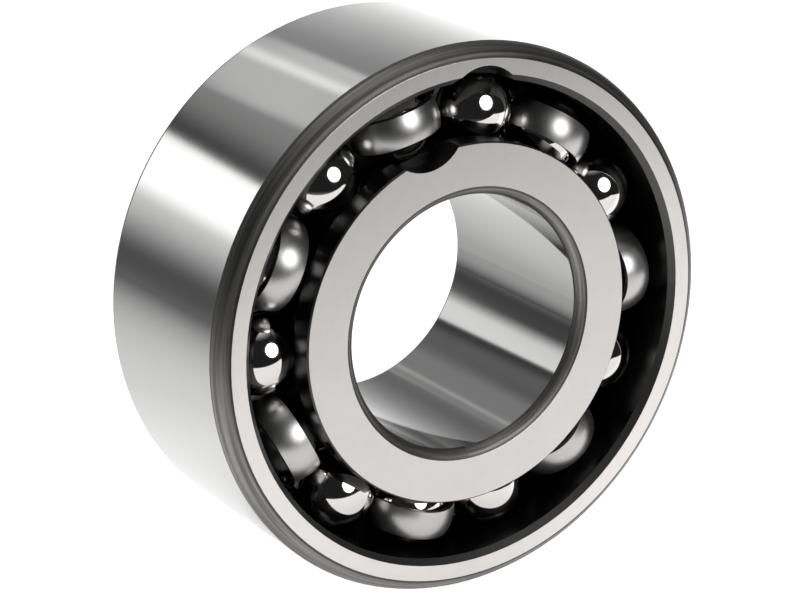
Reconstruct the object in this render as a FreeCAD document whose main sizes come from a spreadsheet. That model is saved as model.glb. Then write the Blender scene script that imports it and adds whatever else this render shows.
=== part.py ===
import FreeCAD, Part
import math
import os

import Sketcher
from FreeCAD import Rotation, Vector

# Double-row angular contact ball bearing with filling slots, 65 x 140 x 58.7 mm.
# Frame: origin at the bearing centre, bearing axis along Y, +Z up. The front face looks
# along -Y. Clock angles start at +Z and run towards +X (clockwise seen from the front).

SIZES = {
    "bore_diameter": 65.0,
    "outside_diameter": 140.0,
    "ring_width": 58.7,
    "outer_corner_length": 4.2,      # corner of the outside diameter, along the wall
    "outer_corner_depth": 3.6,       # and along the face
    "outer_corner_radius": 6.0,      # flatter than a quarter circle: it meets both at an edge
    "bore_corner_length": 2.5,
    "bore_corner_depth": 2.5,
    "bore_corner_radius": 3.8,
    "lip_bevel": 1.5,                # bevel inside each outer-ring face
    "shoulder_chamfer": 0.4,         # edge break of the inner-ring shoulders
    "outer_lip_radius": 61.0,        # low lands of the outer ring, next to its faces
    "outer_land_radius": 57.6,       # high land of the outer ring, between the rows
    "inner_shoulder_radius": 46.0,   # high shoulders of the inner ring, next to its faces
    "inner_land_radius": 42.2,       # low land of the inner ring, between the rows
    "ball_diameter": 20.638,         # 13/16 inch
    "ball_count": 14,                # in each row
    "pitch_radius": 51.5,
    "row_offset": 14.0,              # from the middle plane to the ball centres
    "contact_angle": 30.0,
    "groove_ratio": 0.52,            # raceway radius over ball diameter
    "race_clearance": 0.02,          # between a ball and each raceway
    "slot_radius": 11.25,            # filling slots, cut parallel to the bearing axis
    "slot_centre_radius": 53.4,
    "slot_depth": 9.0,               # ends short of the contact paths
    "outer_slot_clock": 3.9,
    "inner_slot_clock": -14.3,
    "front_row_clock": 10.3,         # first ball of the front row
    "rear_row_clock": 23.157,        # first ball of the rear row, half a ball pitch further
    "cage_inner_radius": 49.5,
    "cage_outer_radius": 56.9,
    "cage_thickness": 1.2,
    "pocket_clearance": 0.36,        # pocket radius over ball radius
    "pocket_shift": 0.8,             # from a ball's centre to its pocket's, along the axis
    "pocket_wrap": 1.3,              # how far a pocket reaches past its own centre
}

SIDES = {"front": -1, "rear": 1}     # direction of each row along Y
FULL_TURN = 360.0

doc = FreeCAD.newDocument("angular_contact_bearing")
sheet = doc.addObject("Spreadsheet::Sheet", "Sizes")
for row, (alias, number) in enumerate(SIZES.items(), start=1):
    sheet.set(f"A{row}", alias)
    sheet.set(f"B{row}", str(number))
    sheet.setAlias(f"B{row}", alias)
doc.recompute()

HALF_WIDTH = "Sizes.ring_width / 2"
OUTER_WALL = "Sizes.outside_diameter / 2"
BORE_WALL = "Sizes.bore_diameter / 2"
BALL_STEP = f"{FULL_TURN} / Sizes.ball_count"
# Distance from a ball's centre to the centre of its raceway arc, along the contact line.
GROOVE_SHIFT = "((Sizes.groove_ratio - 0.5) * Sizes.ball_diameter - Sizes.race_clearance)"
POCKET_INSIDE = "(Sizes.ball_diameter / 2 + Sizes.pocket_clearance)"
POCKET_OUTSIDE = f"({POCKET_INSIDE} + Sizes.cage_thickness)"


def value_of(expression):
    """The present value of an expression over the sheet."""
    result = sheet.evalExpression(expression)
    return float(getattr(result, "Value", result))


def new_sketch(body, name, plane):
    sketch = body.newObject("Sketcher::SketchObject", name)
    support = next(f for f in body.Origin.OriginFeatures if f.Role == plane)
    sketch.AttachmentSupport = [(support, "")]
    sketch.MapMode = "FlatFace"
    return sketch


def bind_point(sketch, geometry, vertex, across, along):
    """Ties a point's two coordinates to expressions."""
    for kind, expression in (("DistanceX", across), ("DistanceY", along)):
        place = Sketcher.Constraint(kind, -1, 1, geometry, vertex, value_of(expression))
        index = sketch.addConstraint(place)
        sketch.setExpression(f"Constraints[{index}]", expression)


def bind_radius(sketch, geometry, radius):
    index = sketch.addConstraint(Sketcher.Constraint("Radius", geometry, value_of(radius)))
    sketch.setExpression(f"Constraints[{index}]", radius)


def add_edge(sketch, start, end, radius):
    """A line from start to end, or an arc that bulges to the right of that direction."""
    if radius is None:
        sketch.addGeometry(Part.LineSegment(start, end), False)
        return
    chord = end - start
    to_left = Vector(-chord.y, chord.x, 0).normalize()
    middle = (start + end) / 2
    centre = middle + to_left * math.sqrt(value_of(radius) ** 2 - (chord.Length / 2) ** 2)
    circle = Part.Circle(centre, Vector(0, 0, 1), value_of(radius))
    first, last = (math.atan2(p.y - centre.y, p.x - centre.x) for p in (start, end))
    geometry = sketch.addGeometry(Part.ArcOfCircle(circle, first, last), False)
    bind_radius(sketch, geometry, radius)


def add_outline(sketch, corners, arcs):
    """A closed anticlockwise outline through corners given as pairs of expressions.

    arcs gives the radius of each edge that isn't straight, by the corner it starts from.
    """
    points = [Vector(value_of(x), value_of(y), 0) for x, y in corners]
    for i, point in enumerate(points):
        following = (i + 1) % len(points)
        add_edge(sketch, point, points[following], arcs.get(i))
    for i in range(len(points)):
        following = (i + 1) % len(points)
        sketch.addConstraint(Sketcher.Constraint("Coincident", i, 2, following, 1))
    for i, (across, along) in enumerate(corners):
        bind_point(sketch, i, 1, across, along)


def add_circle(sketch, across, along, radius):
    centre = Vector(value_of(across), value_of(along), 0)
    circle = Part.Circle(centre, Vector(0, 0, 1), value_of(radius))
    geometry = sketch.addGeometry(circle, False)
    bind_point(sketch, geometry, 3, across, along)
    bind_radius(sketch, geometry, radius)


def turned(body, kind, sketch, name):
    """A full turn of a sketch about the bearing axis: added or cut."""
    feature = body.newObject(kind, name)
    feature.Profile = sketch
    feature.ReferenceAxis = (sketch, ["V_Axis"])
    feature.Angle = FULL_TURN
    sketch.Visibility = False
    doc.recompute()
    return feature


def make_ring(name, wall, corner, lip, land, bevel, groove, slot_clock):
    """One ring with two raceways and a filling slot in each face.

    The ring lies between its seat wall and its lip and land, which face the balls. The
    corner is a prefix in the sheet, for the three sizes of the seat wall's two corners.
    """
    body = doc.addObject("PartDesign::Body", name)
    body.Label = name
    inwards = 1 if value_of(lip) > value_of(wall) else -1

    outline = new_sketch(body, f"{name}_outline", "XY_Plane")
    front_half = [
        (wall, f"-({HALF_WIDTH} - Sizes.{corner}_length)"),
        (f"{wall} + {inwards} * Sizes.{corner}_depth", f"-{HALF_WIDTH}"),
        (f"{lip} - {inwards} * {bevel}", f"-{HALF_WIDTH}"),
        (lip, f"-({HALF_WIDTH} - {bevel})"),
        (lip, "-Sizes.row_offset"),
        (land, "-Sizes.row_offset"),
    ]
    rear_half = [(radius, f"-({offset})") for radius, offset in reversed(front_half)]
    corners = (front_half + rear_half)[::inwards]
    # Either way round, the outline starts and ends with a corner beside the seat wall.
    arcs = dict.fromkeys((0, len(corners) - 2), f"Sizes.{corner}_radius")
    add_outline(outline, corners, arcs)
    turned(body, "PartDesign::Revolution", outline, f"{name}_blank")

    races = new_sketch(body, f"{name}_race_arcs", "XY_Plane")
    groove_radius, groove_offset = groove
    for side in SIDES.values():
        offset = f"{side} * ({groove_offset})"
        add_circle(races, groove_radius, offset, "Sizes.groove_ratio * Sizes.ball_diameter")
    solid = turned(body, "PartDesign::Groove", races, f"{name}_raceways")

    for label, side in SIDES.items():
        slot = new_sketch(body, f"{name}_{label}_slot_outline", "XZ_Plane")
        slot.setExpression("AttachmentOffset.Base.z", f"{-side} * {HALF_WIDTH}")
        across = f"Sizes.slot_centre_radius * sin({slot_clock} * 1deg)"
        along = f"Sizes.slot_centre_radius * cos({slot_clock} * 1deg)"
        add_circle(slot, across, along, "Sizes.slot_radius")
        cut = body.newObject("PartDesign::Pocket", f"{name}_{label}_slot")
        cut.Profile = slot
        cut.Reversed = side > 0
        cut.setExpression("Length", "Sizes.slot_depth")
        slot.Visibility = False
        doc.recompute()
        if cut.Shape.Volume > solid.Shape.Volume - 1.0:
            raise RuntimeError(f"{cut.Label} removed nothing")
        solid = cut
    return body


def sphere_at_ball(label, row_name, number, radius, shift="0"):
    """A sphere at one ball of a row, or shifted along the bearing axis, tied to the sheet."""
    sphere = doc.addObject("Part::Sphere", label)
    sphere.Label = label
    clock = f"((Sizes.{row_name}_row_clock + {number} * {BALL_STEP}) * 1deg)"
    sphere.setExpression("Radius", radius)
    sphere.setExpression("Placement.Base.x", f"Sizes.pitch_radius * sin({clock})")
    sphere.setExpression("Placement.Base.y", f"{SIDES[row_name]} * Sizes.row_offset + {shift}")
    sphere.setExpression("Placement.Base.z", f"Sizes.pitch_radius * cos({clock})")
    return sphere


def make_band(label):
    """The space between the cage radii, as a wide hoop round the bearing axis."""
    hoop = []
    for end, radius in (("outside", "cage_outer_radius"), ("inside", "cage_inner_radius")):
        cylinder = doc.addObject("Part::Cylinder", f"{label}_{end}")
        cylinder.Placement.Rotation = Rotation(Vector(0, 0, 1), Vector(0, 1, 0))
        cylinder.setExpression("Radius", f"Sizes.{radius}")
        cylinder.setExpression("Height", "Sizes.ring_width")
        cylinder.setExpression("Placement.Base.y", f"-{HALF_WIDTH}")
        hoop.append(cylinder)
    band = doc.addObject("Part::Cut", label)
    band.Base, band.Tool = hoop
    return band


def make_cage(row_name):
    """A pressed ribbon of round pockets, in front of one ball and behind the next.

    Each pocket is a part of a hollow sphere over its ball, cut off at the cage radii.
    It reaches a little past its ball's centre, where it joins the pockets beside it.
    """
    label = f"cage_{row_name}"
    shells = []
    hollows = []
    for number in range(ball_count):
        behind = number % 2 == 0
        facing = -SIDES[row_name] if behind else SIDES[row_name]
        shift = f"{facing} * Sizes.pocket_shift"
        name = f"{label}_shell_{number + 1:02d}"
        shell = sphere_at_ball(name, row_name, number, POCKET_OUTSIDE, shift)
        shell.Placement.Rotation = Rotation(Vector(0, 0, 1), Vector(0, facing, 0))
        shell.setExpression("Angle1", f"-asin(Sizes.pocket_wrap / {POCKET_OUTSIDE})")
        name = f"{label}_hollow_{number + 1:02d}"
        hollow = sphere_at_ball(name, row_name, number, POCKET_INSIDE, shift)
        shells.append(shell)
        hollows.append(hollow)

    pressed = doc.addObject("Part::MultiFuse", f"{label}_shells")
    pressed.Shapes = shells
    room = doc.addObject("Part::MultiFuse", f"{label}_hollows")
    room.Shapes = hollows
    pockets = doc.addObject("Part::Cut", f"{label}_pockets")
    pockets.Base = pressed
    pockets.Tool = room
    cage = doc.addObject("Part::MultiCommon", label)
    cage.Label = label
    cage.Shapes = [pockets, make_band(f"{label}_band")]
    return cage


# The outer ring touches its balls towards the middle plane, the inner ring towards the
# faces, so each raceway arc is centred on the far side of the ball from its contact.
sub_parts = [
    make_ring(
        "outer_ring", OUTER_WALL, "outer_corner", "Sizes.outer_lip_radius",
        "Sizes.outer_land_radius", "Sizes.lip_bevel",
        (f"Sizes.pitch_radius - {GROOVE_SHIFT} * cos(Sizes.contact_angle * 1deg)",
         f"Sizes.row_offset + {GROOVE_SHIFT} * sin(Sizes.contact_angle * 1deg)"),
        "Sizes.outer_slot_clock"),
    make_ring(
        "inner_ring", BORE_WALL, "bore_corner", "Sizes.inner_shoulder_radius",
        "Sizes.inner_land_radius", "Sizes.shoulder_chamfer",
        (f"Sizes.pitch_radius + {GROOVE_SHIFT} * cos(Sizes.contact_angle * 1deg)",
         f"Sizes.row_offset - {GROOVE_SHIFT} * sin(Sizes.contact_angle * 1deg)"),
        "Sizes.inner_slot_clock"),
]
ball_count = int(value_of("Sizes.ball_count"))
for row_name in SIDES:
    sub_parts.append(make_cage(row_name))
    for number in range(ball_count):
        label = f"ball_{row_name}_{number + 1:02d}"
        sub_parts.append(sphere_at_ball(label, row_name, number, "Sizes.ball_diameter / 2"))

doc.recompute()
for item in doc.Objects:
    if {"Invalid", "Error"} & set(item.State):
        raise RuntimeError(f"{item.Label} failed: {item.State}")
for item in sub_parts:
    if not item.Shape.isValid() or len(item.Shape.Solids) != 1:
        raise RuntimeError(f"{item.Label} isn't one valid solid")

os.makedirs("parts", exist_ok=True)
for item in sub_parts:
    solid = item.Shape.Solids[0]
    solid.exportStep(f"parts/{item.Label}.step")
    print(item.Label, round(solid.Volume, 1))
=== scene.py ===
import math
import bpy
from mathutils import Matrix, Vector


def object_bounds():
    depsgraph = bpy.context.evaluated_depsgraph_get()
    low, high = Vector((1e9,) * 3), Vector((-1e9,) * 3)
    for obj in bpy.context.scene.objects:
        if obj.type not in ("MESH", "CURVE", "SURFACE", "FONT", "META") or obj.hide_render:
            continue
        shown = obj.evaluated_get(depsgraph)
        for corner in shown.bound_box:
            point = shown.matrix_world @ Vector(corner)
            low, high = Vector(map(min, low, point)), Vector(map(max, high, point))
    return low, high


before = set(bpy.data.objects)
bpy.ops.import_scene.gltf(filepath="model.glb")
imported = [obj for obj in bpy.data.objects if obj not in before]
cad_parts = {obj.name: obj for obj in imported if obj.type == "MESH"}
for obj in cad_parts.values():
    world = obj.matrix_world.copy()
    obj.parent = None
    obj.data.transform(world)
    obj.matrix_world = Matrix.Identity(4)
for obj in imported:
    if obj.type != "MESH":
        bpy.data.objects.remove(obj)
cad_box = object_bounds()

# The bearing stands on its rim: its axis is Y, its front face looks along -Y, and Z is up.
LOW, HIGH = cad_box
CENTRE = (LOW + HIGH) / 2
RIM_RADIUS = (HIGH.x - LOW.x) / 2
HALF_WIDTH = (HIGH.y - LOW.y) / 2
FLOOR_HEIGHT = CENTRE.z - RIM_RADIUS


# ---------------------------------------------------------------- shader building

class Shader:
    """A material's node tree, with short calls for the nodes that this scene uses."""

    def __init__(self, tree):
        self.tree = tree
        tree.nodes.clear()

    def node(self, kind, **inputs):
        made = self.tree.nodes.new(kind)
        for name, value in inputs.items():
            self.put(made.inputs[name.replace("_", " ")], value)
        return made

    def put(self, socket, value):
        if isinstance(value, bpy.types.NodeSocket):
            self.tree.links.new(value, socket)
        else:
            socket.default_value = value

    def math(self, operation, *values, clamp=False):
        made = self.tree.nodes.new("ShaderNodeMath")
        made.operation = operation
        made.use_clamp = clamp
        for socket, value in zip(made.inputs, values):
            self.put(socket, value)
        return made.outputs[0]

    def vector(self, operation, *values):
        made = self.tree.nodes.new("ShaderNodeVectorMath")
        made.operation = operation
        for socket, value in zip(made.inputs, values):
            self.put(socket, value)
        return made.outputs["Value" if operation in ("LENGTH", "DOT_PRODUCT") else "Vector"]

    def remap(self, value, low, high, to_low=0.0, to_high=1.0):
        """A smooth step from to_low to to_high as value goes from low to high."""
        made = self.tree.nodes.new("ShaderNodeMapRange")
        made.interpolation_type = "SMOOTHSTEP"
        for socket, number in zip(made.inputs, (value, low, high, to_low, to_high)):
            self.put(socket, number)
        return made.outputs[0]

    def noise(self, where, scale, detail=2.0, roughness=0.5):
        made = self.node("ShaderNodeTexNoise", Vector=where, Scale=scale, Detail=detail,
                         Roughness=roughness)
        return made.outputs["Fac"]

    def split(self, vector):
        return self.node("ShaderNodeSeparateXYZ", Vector=vector).outputs

    def join(self, x=0.0, y=0.0, z=0.0):
        return self.node("ShaderNodeCombineXYZ", X=x, Y=y, Z=z).outputs[0]

    def mix(self, share, first, second):
        """A colour between first and second."""
        made = self.tree.nodes.new("ShaderNodeMix")
        made.data_type = "RGBA"
        self.put(made.inputs["Factor"], share)
        self.put(made.inputs[6], first)
        self.put(made.inputs[7], second)
        return made.outputs[2]

    def lean(self, share, first, second):
        """A vector between first and second."""
        made = self.tree.nodes.new("ShaderNodeMix")
        made.data_type = "VECTOR"
        self.put(made.inputs["Factor"], share)
        self.put(made.inputs[4], first)
        self.put(made.inputs[5], second)
        return made.outputs[1]

    def to_world(self, normal):
        """A normal in the object's own directions, turned with the object as it moves."""
        made = self.node("ShaderNodeVectorTransform", Vector=normal)
        made.vector_type = "NORMAL"
        made.convert_from = "OBJECT"
        made.convert_to = "WORLD"
        return made.outputs[0]

    def blend(self, share, first, second):
        """A number between first and second."""
        step = self.math("SUBTRACT", second, first)
        return self.math("ADD", self.math("MULTIPLY", share, step), first)

    def steel(self, **inputs):
        """The bare metal of a surface, and the material's output."""
        shader = self.node("ShaderNodeBsdfPrincipled", Metallic=1.0, **inputs)
        self.node("ShaderNodeOutputMaterial", Surface=shader.outputs[0])


def new_material(name):
    """An empty material, and the Shader that fills it."""
    material = bpy.data.materials.new(name)
    material.use_nodes = True
    return material, Shader(material.node_tree)


def grey(value, warmth=0.0):
    """A neutral colour, or a slightly warm one."""
    return (value * (1 + warmth), value, value * (1 - warmth), 1.0)


def round_coordinates(s):
    """A point's place, its radius, its share of a turn round the axis and its place along it."""
    place = s.node("ShaderNodeTexCoord").outputs["Object"]
    x, y, z = s.split(place)
    radius = s.math("SQRT", s.math("ADD", s.math("MULTIPLY", x, x), s.math("MULTIPLY", z, z)))
    turn = s.math("DIVIDE", s.math("ARCTAN2", x, z), math.tau)
    return place, radius, turn, y


# The balls, in metres. FRONT_ROW_CLOCK is the angle from the top to a ball of the front row, in
# degrees. The rear row stands half a ball spacing further round.
BALL_COUNT = 14
PITCH_RADIUS = 0.0515
ROW_OFFSET = 0.0140
FRONT_ROW_CLOCK = 10.3
FRONT_PHASE = FRONT_ROW_CLOCK * BALL_COUNT / 360

# A cage pocket is part of a hollow sphere, whose middle stands this far from its ball's.
# POCKET_MIDDLE is the radius half way through its sheet.
POCKET_SHIFT = 0.0008
POCKET_MIDDLE = 0.0113


def nearest_ball(s, place, turn, along, shift=0.0):
    """The way to a point from the middle of the nearest ball, or from shift further out."""
    rear = s.math("GREATER_THAN", along, 0.0)
    phase = s.math("ADD", FRONT_PHASE, s.math("MULTIPLY", rear, 0.5))
    number = s.math("ROUND", s.math("SUBTRACT", s.math("MULTIPLY", turn, BALL_COUNT), phase))
    angle = s.math("MULTIPLY", s.math("ADD", number, phase), math.tau / BALL_COUNT)
    offset = s.math("MULTIPLY", s.math("SIGN", along), s.math("ADD", ROW_OFFSET, shift))
    middle = s.join(s.math("MULTIPLY", s.math("SINE", angle), PITCH_RADIUS), offset,
                    s.math("MULTIPLY", s.math("COSINE", angle), PITCH_RADIUS))
    return s.vector("SUBTRACT", place, middle)


# ---------------------------------------------------------------- materials

def ring_steel(name, seat, corner_length, corner_depth, lip, bevel, seat_grey, face_grey, face_rough):
    """Bearing steel of one ring, finished by region, all sizes in metres.

    seat is the radius of the ground cylinder that takes the shaft or the housing. Its
    corners measure corner_length along it and corner_depth along the flat faces, and are
    left dark. On the other side each face ends in a small bevel, down to the lip, which
    is that far from the seat. The rest of the ring faces the balls.
    """
    material, s = new_material(name)
    place, radius, turn, along = round_coordinates(s)
    depth = s.math("SUBTRACT", HALF_WIDTH, s.math("ABSOLUTE", along))
    from_seat = s.math("ABSOLUTE", s.math("SUBTRACT", radius, seat))

    face = s.remap(depth, 0.00001, 0.00003, 1.0, 0.0)
    outside = s.math("LESS_THAN", from_seat, corner_depth)
    ground = s.math("MULTIPLY", outside, s.math("GREATER_THAN", depth, corner_length))
    from_cone = s.math("SUBTRACT", s.math("SUBTRACT", from_seat, depth), lip - bevel)
    edge_break = s.math("MULTIPLY", s.math("LESS_THAN", s.math("ABSOLUTE", from_cone), 0.0002),
                        s.math("LESS_THAN", depth, bevel))
    edge_line = s.remap(from_seat, corner_depth - 0.0009, corner_depth - 0.0004)

    blotch = s.noise(place, 90.0, 3.0, 0.6)
    mottle = s.noise(place, 420.0, 3.0, 0.6)
    around = s.math("MULTIPLY", turn, 30.0)
    lay_face = s.noise(s.join(s.math("MULTIPLY", radius, 9000.0), around), 1.0, 2.0)
    lay_seat = s.noise(s.join(s.math("MULTIPLY", along, 9000.0), around), 1.0, 2.0)
    lay = s.blend(face, lay_seat, lay_face)
    across = s.join(s.math("MULTIPLY", depth, 1500.0), s.math("MULTIPLY", from_seat, 1500.0),
                    s.math("MULTIPLY", turn, 9.0))
    streak = s.noise(across, 1.0, 3.0, 0.65)

    spots = s.blend(0.5, blotch, mottle)
    face_colour = s.mix(spots, grey(face_grey, 0.022), grey(face_grey * 0.86, 0.034))
    seat_colour = s.mix(blotch, grey(seat_grey, 0.006), grey(seat_grey * 0.95, 0.010))
    corner_colour = s.mix(s.remap(streak, 0.3, 0.7), grey(0.37, 0.025), grey(0.15, 0.04))
    corner_colour = s.mix(edge_line, corner_colour, grey(0.10, 0.02))
    bevel_colour = s.mix(blotch, grey(0.13, 0.02), grey(0.10, 0.02))
    # Painted shade: the raceways and lands inside, down between the rings, are near black to stand
    # for the shade that falls there, not the steel's own colour.
    inner_painted_shade = s.mix(blotch, grey(0.05, 0.00), grey(0.03, 0.02))
    colour = s.mix(outside, inner_painted_shade, corner_colour)
    colour = s.mix(ground, colour, seat_colour)
    colour = s.mix(edge_break, colour, bevel_colour)
    colour = s.mix(face, colour, face_colour)

    rough = s.blend(outside, 0.28, 0.46)
    rough = s.blend(ground, rough, 0.075)
    rough = s.blend(edge_break, rough, 0.45)
    rough = s.blend(face, rough, face_rough)
    rough = s.math("ADD", rough, s.math("MULTIPLY", s.math("SUBTRACT", lay, 0.5), 0.03))

    bump = s.node("ShaderNodeBump", Strength=0.06, Distance=0.00002, Height=lay)
    tangent = s.tree.nodes.new("ShaderNodeTangent")
    tangent.direction_type = "RADIAL"
    tangent.axis = "Y"
    s.steel(Base_Color=colour, Roughness=rough, Anisotropic=s.math("MULTIPLY", ground, 0.85),
            Anisotropic_Rotation=0.25, Tangent=tangent.outputs[0], Normal=bump.outputs[0])
    return material


def ball_steel():
    """Polished steel. The normal is the ball's own, so no mesh facet shows in the polish."""
    material, s = new_material("ball_steel_polished")
    place, radius, turn, along = round_coordinates(s)
    haze = s.noise(place, 260.0, 4.0, 0.6)
    rough = s.remap(haze, 0.35, 0.75, 0.05, 0.09)
    colour = s.mix(haze, grey(0.80, 0.025), grey(0.75, 0.030))
    normal = s.to_world(s.vector("NORMALIZE", nearest_ball(s, place, turn, along)))
    s.steel(Base_Color=colour, Roughness=rough, Normal=normal)
    return material


def cage_steel():
    """Pressed sheet, with painted shade: near black down between the balls, by the row plane, and its
    own grey on the pockets' crowns.

    On the very top of a crown the normal is the pocket's own, as the mesh is coarse there.
    """
    material, s = new_material("cage_steel_pressed")
    place, radius, turn, along = round_coordinates(s)
    from_plane = s.math("ABSOLUTE", along)
    # Painted shade: the colour goes from the sheet's own grey on the crowns to near black towards the
    # row plane, between the balls, where shade falls.
    crown = s.remap(from_plane, 0.0150, 0.0205)
    grain = s.noise(place, 1400.0, 3.0, 0.6)
    blotch = s.noise(place, 120.0, 3.0, 0.6)
    bright = s.mix(blotch, grey(0.64, 0.010), grey(0.56, 0.018))
    colour = s.mix(crown, grey(0.10, 0.02), bright)
    rough = s.blend(grain, 0.30, 0.36)

    away = s.math("SIGN", s.math("SUBTRACT", from_plane, ROW_OFFSET))
    outward = nearest_ball(s, place, turn, along, s.math("MULTIPLY", away, POCKET_SHIFT))
    reach = s.vector("LENGTH", outward)
    aside = s.vector("LENGTH", s.vector("MULTIPLY", outward, (1.0, 0.0, 1.0)))
    top = s.math("MULTIPLY", s.remap(aside, 0.0014, 0.0019, 1.0, 0.0),
                 s.math("GREATER_THAN", reach, POCKET_MIDDLE))
    own = s.node("ShaderNodeTexCoord").outputs["Normal"]
    normal = s.to_world(s.lean(top, own, s.vector("NORMALIZE", outward)))
    bump = s.node("ShaderNodeBump", Strength=0.06, Distance=0.00002, Height=grain, Normal=normal)
    s.steel(Base_Color=colour, Roughness=rough, Normal=bump.outputs[0])
    return material


def paint(node, material):
    """Gives a piece of the bearing its one material."""
    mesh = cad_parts[node].data
    mesh.materials.clear()
    mesh.materials.append(material)


paint("outer_ring", ring_steel("outer_ring_steel", seat=0.070, corner_length=0.0042,
                               corner_depth=0.0036, lip=0.0090, bevel=0.0015,
                               seat_grey=0.70, face_grey=0.88, face_rough=0.31))
paint("inner_ring", ring_steel("inner_ring_steel", seat=0.0325, corner_length=0.0025,
                               corner_depth=0.0025, lip=0.0135, bevel=0.0004,
                               seat_grey=0.42, face_grey=0.76, face_rough=0.36))
BALL = ball_steel()
CAGE = cage_steel()
for node_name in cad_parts:
    if node_name.startswith("ball"):
        paint(node_name, BALL)
    elif node_name.startswith("cage"):
        paint(node_name, CAGE)


# ---------------------------------------------------------------- camera

CAMERA_AZIMUTH = math.radians(31.66)
CAMERA_ELEVATION = math.radians(18.23)
CAMERA_DISTANCE = 0.6898
CAMERA_AIM = CENTRE + Vector((-0.01370, -0.01865, 0.00582))
CAMERA_LENS = 126.9

BACK = Vector((math.sin(CAMERA_AZIMUTH), math.cos(CAMERA_AZIMUTH), 0.0))
RIGHT = Vector((BACK.y, -BACK.x, 0.0))


def make_camera():
    """Looks down on the front face from the left."""
    data = bpy.data.cameras.new("camera")
    data.lens = CAMERA_LENS
    camera = bpy.data.objects.new("camera", data)
    bpy.context.scene.collection.objects.link(camera)
    away = Vector((0.0, 0.0, math.sin(CAMERA_ELEVATION))) - BACK * math.cos(CAMERA_ELEVATION)
    camera.location = CAMERA_AIM + away * CAMERA_DISTANCE
    camera.rotation_euler = (-away).to_track_quat("-Z", "Y").to_euler()
    bpy.context.scene.camera = camera


# ---------------------------------------------------------------- studio

PAPER_FRONT = 0.21
PAPER_SIDE = 0.50
PAPER_BACK = 0.80


def make_floor():
    """White paper, evenly white to the camera. In reflections it carries painted light: its colour
    and glow fade to the left and are brightest just beside the bearing.
    """
    corners = [(-PAPER_SIDE, -PAPER_FRONT), (PAPER_SIDE, -PAPER_FRONT),
               (PAPER_SIDE, PAPER_BACK), (-PAPER_SIDE, PAPER_BACK)]
    mesh = bpy.data.meshes.new("paper")
    points = [RIGHT * u + BACK * w + Vector((0, 0, FLOOR_HEIGHT)) for u, w in corners]
    mesh.from_pydata(points, [], [(0, 1, 2, 3)])
    paper = bpy.data.objects.new("paper", mesh)
    bpy.context.scene.collection.objects.link(paper)
    material, s = new_material("paper")
    x, y, _ = s.split(s.node("ShaderNodeTexCoord").outputs["Object"])
    sideways = s.math("ADD", s.math("MULTIPLY", x, RIGHT.x), s.math("MULTIPLY", y, RIGHT.y))
    away = s.math("ADD", s.math("MULTIPLY", x, BACK.x), s.math("MULTIPLY", y, BACK.y))
    seen = s.node("ShaderNodeLightPath").outputs["Is Camera Ray"]
    # Painted light: for rays other than the camera's, the paper's colour and glow fade to the left,
    # with a painted bright patch just beside the bearing.
    painted_light_pool = s.remap(sideways, -0.52, -0.06, 0.14, 1.0)
    beside = s.math("MULTIPLY", s.remap(sideways, -0.14, -0.04), s.remap(away, -0.03, 0.01))
    painted_light_pool = s.math("MULTIPLY", painted_light_pool, s.blend(beside, 1.0, 1.55))
    painted_light_pool = s.blend(seen, painted_light_pool, 1.0)
    # The paper glows though it is no lamp: painted light, seen by the camera as an evenly white
    # floor.
    surface = s.node("ShaderNodeBsdfPrincipled", Base_Color=s.mix(painted_light_pool, grey(0.0), grey(0.80)),
                     Roughness=0.9, Emission_Color=painted_light_pool,
                     Emission_Strength=s.blend(seen, 0.46, 0.80))
    surface.inputs["Specular IOR Level"].default_value = 0.0
    s.node("ShaderNodeOutputMaterial", Surface=surface.outputs[0])
    mesh.materials.append(material)


def make_light(name, direction, distance, size, power):
    """A round soft light that faces the bearing from a direction."""
    data = bpy.data.lights.new(name, "AREA")
    data.shape = "DISK"
    data.size = size
    data.energy = power
    light = bpy.data.objects.new(name, data)
    bpy.context.scene.collection.objects.link(light)
    towards = Vector(direction).normalized()
    light.location = CENTRE + towards * distance
    light.rotation_euler = towards.to_track_quat("Z", "Y").to_euler()
    light.visible_camera = False
    return light


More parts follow.
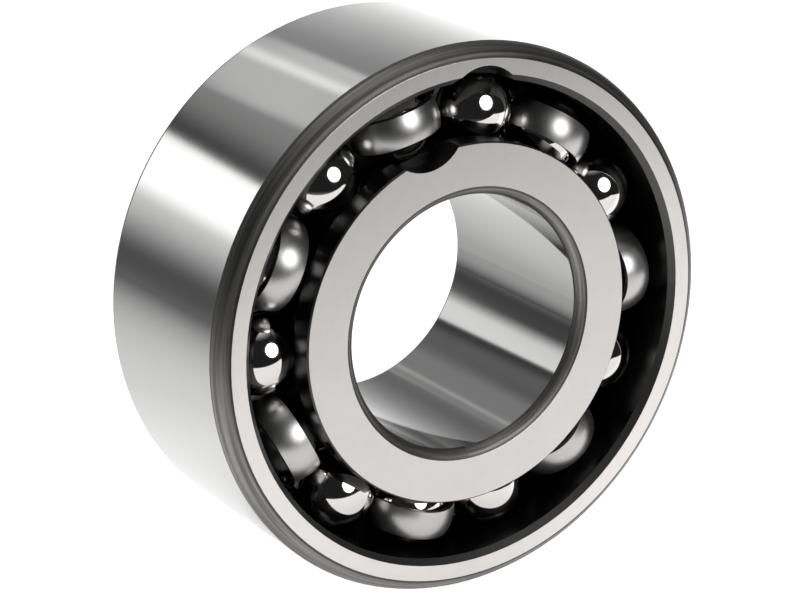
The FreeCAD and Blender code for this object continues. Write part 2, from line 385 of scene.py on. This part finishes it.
def make_world():
    """The studio round the bearing: walls and cards of other brightness in other directions.

    Directions are an azimuth from +Y towards +X and an elevation, both in degrees.
    """
    world = bpy.data.worlds.new("studio")
    bpy.context.scene.world = world
    world.use_nodes = True
    s = Shader(world.node_tree)
    direction = s.vector("NORMALIZE", s.node("ShaderNodeTexCoord").outputs["Generated"])
    x, y, z = s.split(direction)
    elevation = s.math("MULTIPLY", s.math("ARCSINE", z), 180 / math.pi)
    azimuth = s.math("MULTIPLY", s.math("ARCTAN2", x, y), 180 / math.pi)

    def sector(middle, half, soft):
        """1 within half degrees of the azimuth middle, falling to 0 over soft degrees."""
        off = s.math("WRAP", s.math("SUBTRACT", azimuth, middle), 180.0, -180.0)
        return s.remap(s.math("ABSOLUTE", off), half, half + soft, 1.0, 0.0)

    def fade(low, high, start, end):
        """Brightness that goes smoothly from start to end between two elevations."""
        return s.remap(elevation, low, high, start, end)

    upper_wall = s.math("MULTIPLY", fade(23, 29, 0.04, 0.24), fade(30, 45, 1.0, 0.2))

    def lit_card(glow, foot, top):
        """A card that is lit from its foot to its top, with the paper's glow below it."""
        lit = s.math("MULTIPLY", s.math("ADD", glow, foot), top)
        return s.math("MAXIMUM", lit, upper_wall)

    room = fade(-50, -20, 0.50, 0.015)
    far_wall = s.math("ADD", fade(21, 30, 0.0, 0.31), fade(32, 38, 0.0, 0.11))
    far_wall = s.math("MULTIPLY", far_wall, fade(40, 60, 1.0, 0.0))
    total = s.math("MAXIMUM", room, s.math("MULTIPLY", far_wall, sector(0.0, 26.0, 8.0)))

    near_foot = s.math("ADD", fade(-4, 10, 0.0, 0.70), fade(8, 13, 0.0, 0.75))
    left = lit_card(fade(-30, -5, 0.80, 0.10), near_foot, fade(21.5, 22.5, 1.0, 0.0))
    far_left = lit_card(fade(-17, -2, 0.80, 0.11), fade(5, 14, 0.0, 1.25), fade(22, 24, 1.0, 0.0))
    cards = s.blend(sector(-46.0, 9.0, 2.0), left, far_left)
    total = s.blend(sector(-36.0, 13.0, 12.0), total, cards)

    right = fade(-12, 40, 1.40, 0.20)
    total = s.blend(sector(36.0, 14.0, 14.0), total, right)

    wide_panel = s.math("MULTIPLY", sector(-2.0, 6.0, 5.0), 0.66)
    slim_panel = s.math("MULTIPLY", sector(9.0, 2.5, 4.0), 0.72)
    height = s.math("MULTIPLY", s.remap(elevation, 27.5, 30.5),
                    s.remap(elevation, 33.0, 36.0, 1.0, 0.6))
    panels = s.math("MULTIPLY", s.math("ADD", wide_panel, slim_panel), height)
    total = s.math("MAXIMUM", total, panels)
    total = s.math("MAXIMUM", total, s.remap(elevation, 46.0, 90.0))

    seen = s.node("ShaderNodeLightPath").outputs["Is Camera Ray"]
    backdrop = s.blend(seen, total, 1.05)
    background = s.node("ShaderNodeBackground", Color=backdrop, Strength=1.0)
    s.node("ShaderNodeOutputWorld", Surface=background.outputs[0])


make_camera()
make_floor()
make_world()
make_light("key", (0.256, -0.908, 0.327), distance=1.6, size=1.04, power=9.5)
fill = make_light("floor_fill", (0.0, 0.0, 1.0), distance=1.8, size=1.6, power=12.0)
fill.visible_glossy = False
bpy.context.scene.view_settings.view_transform = "Standard"
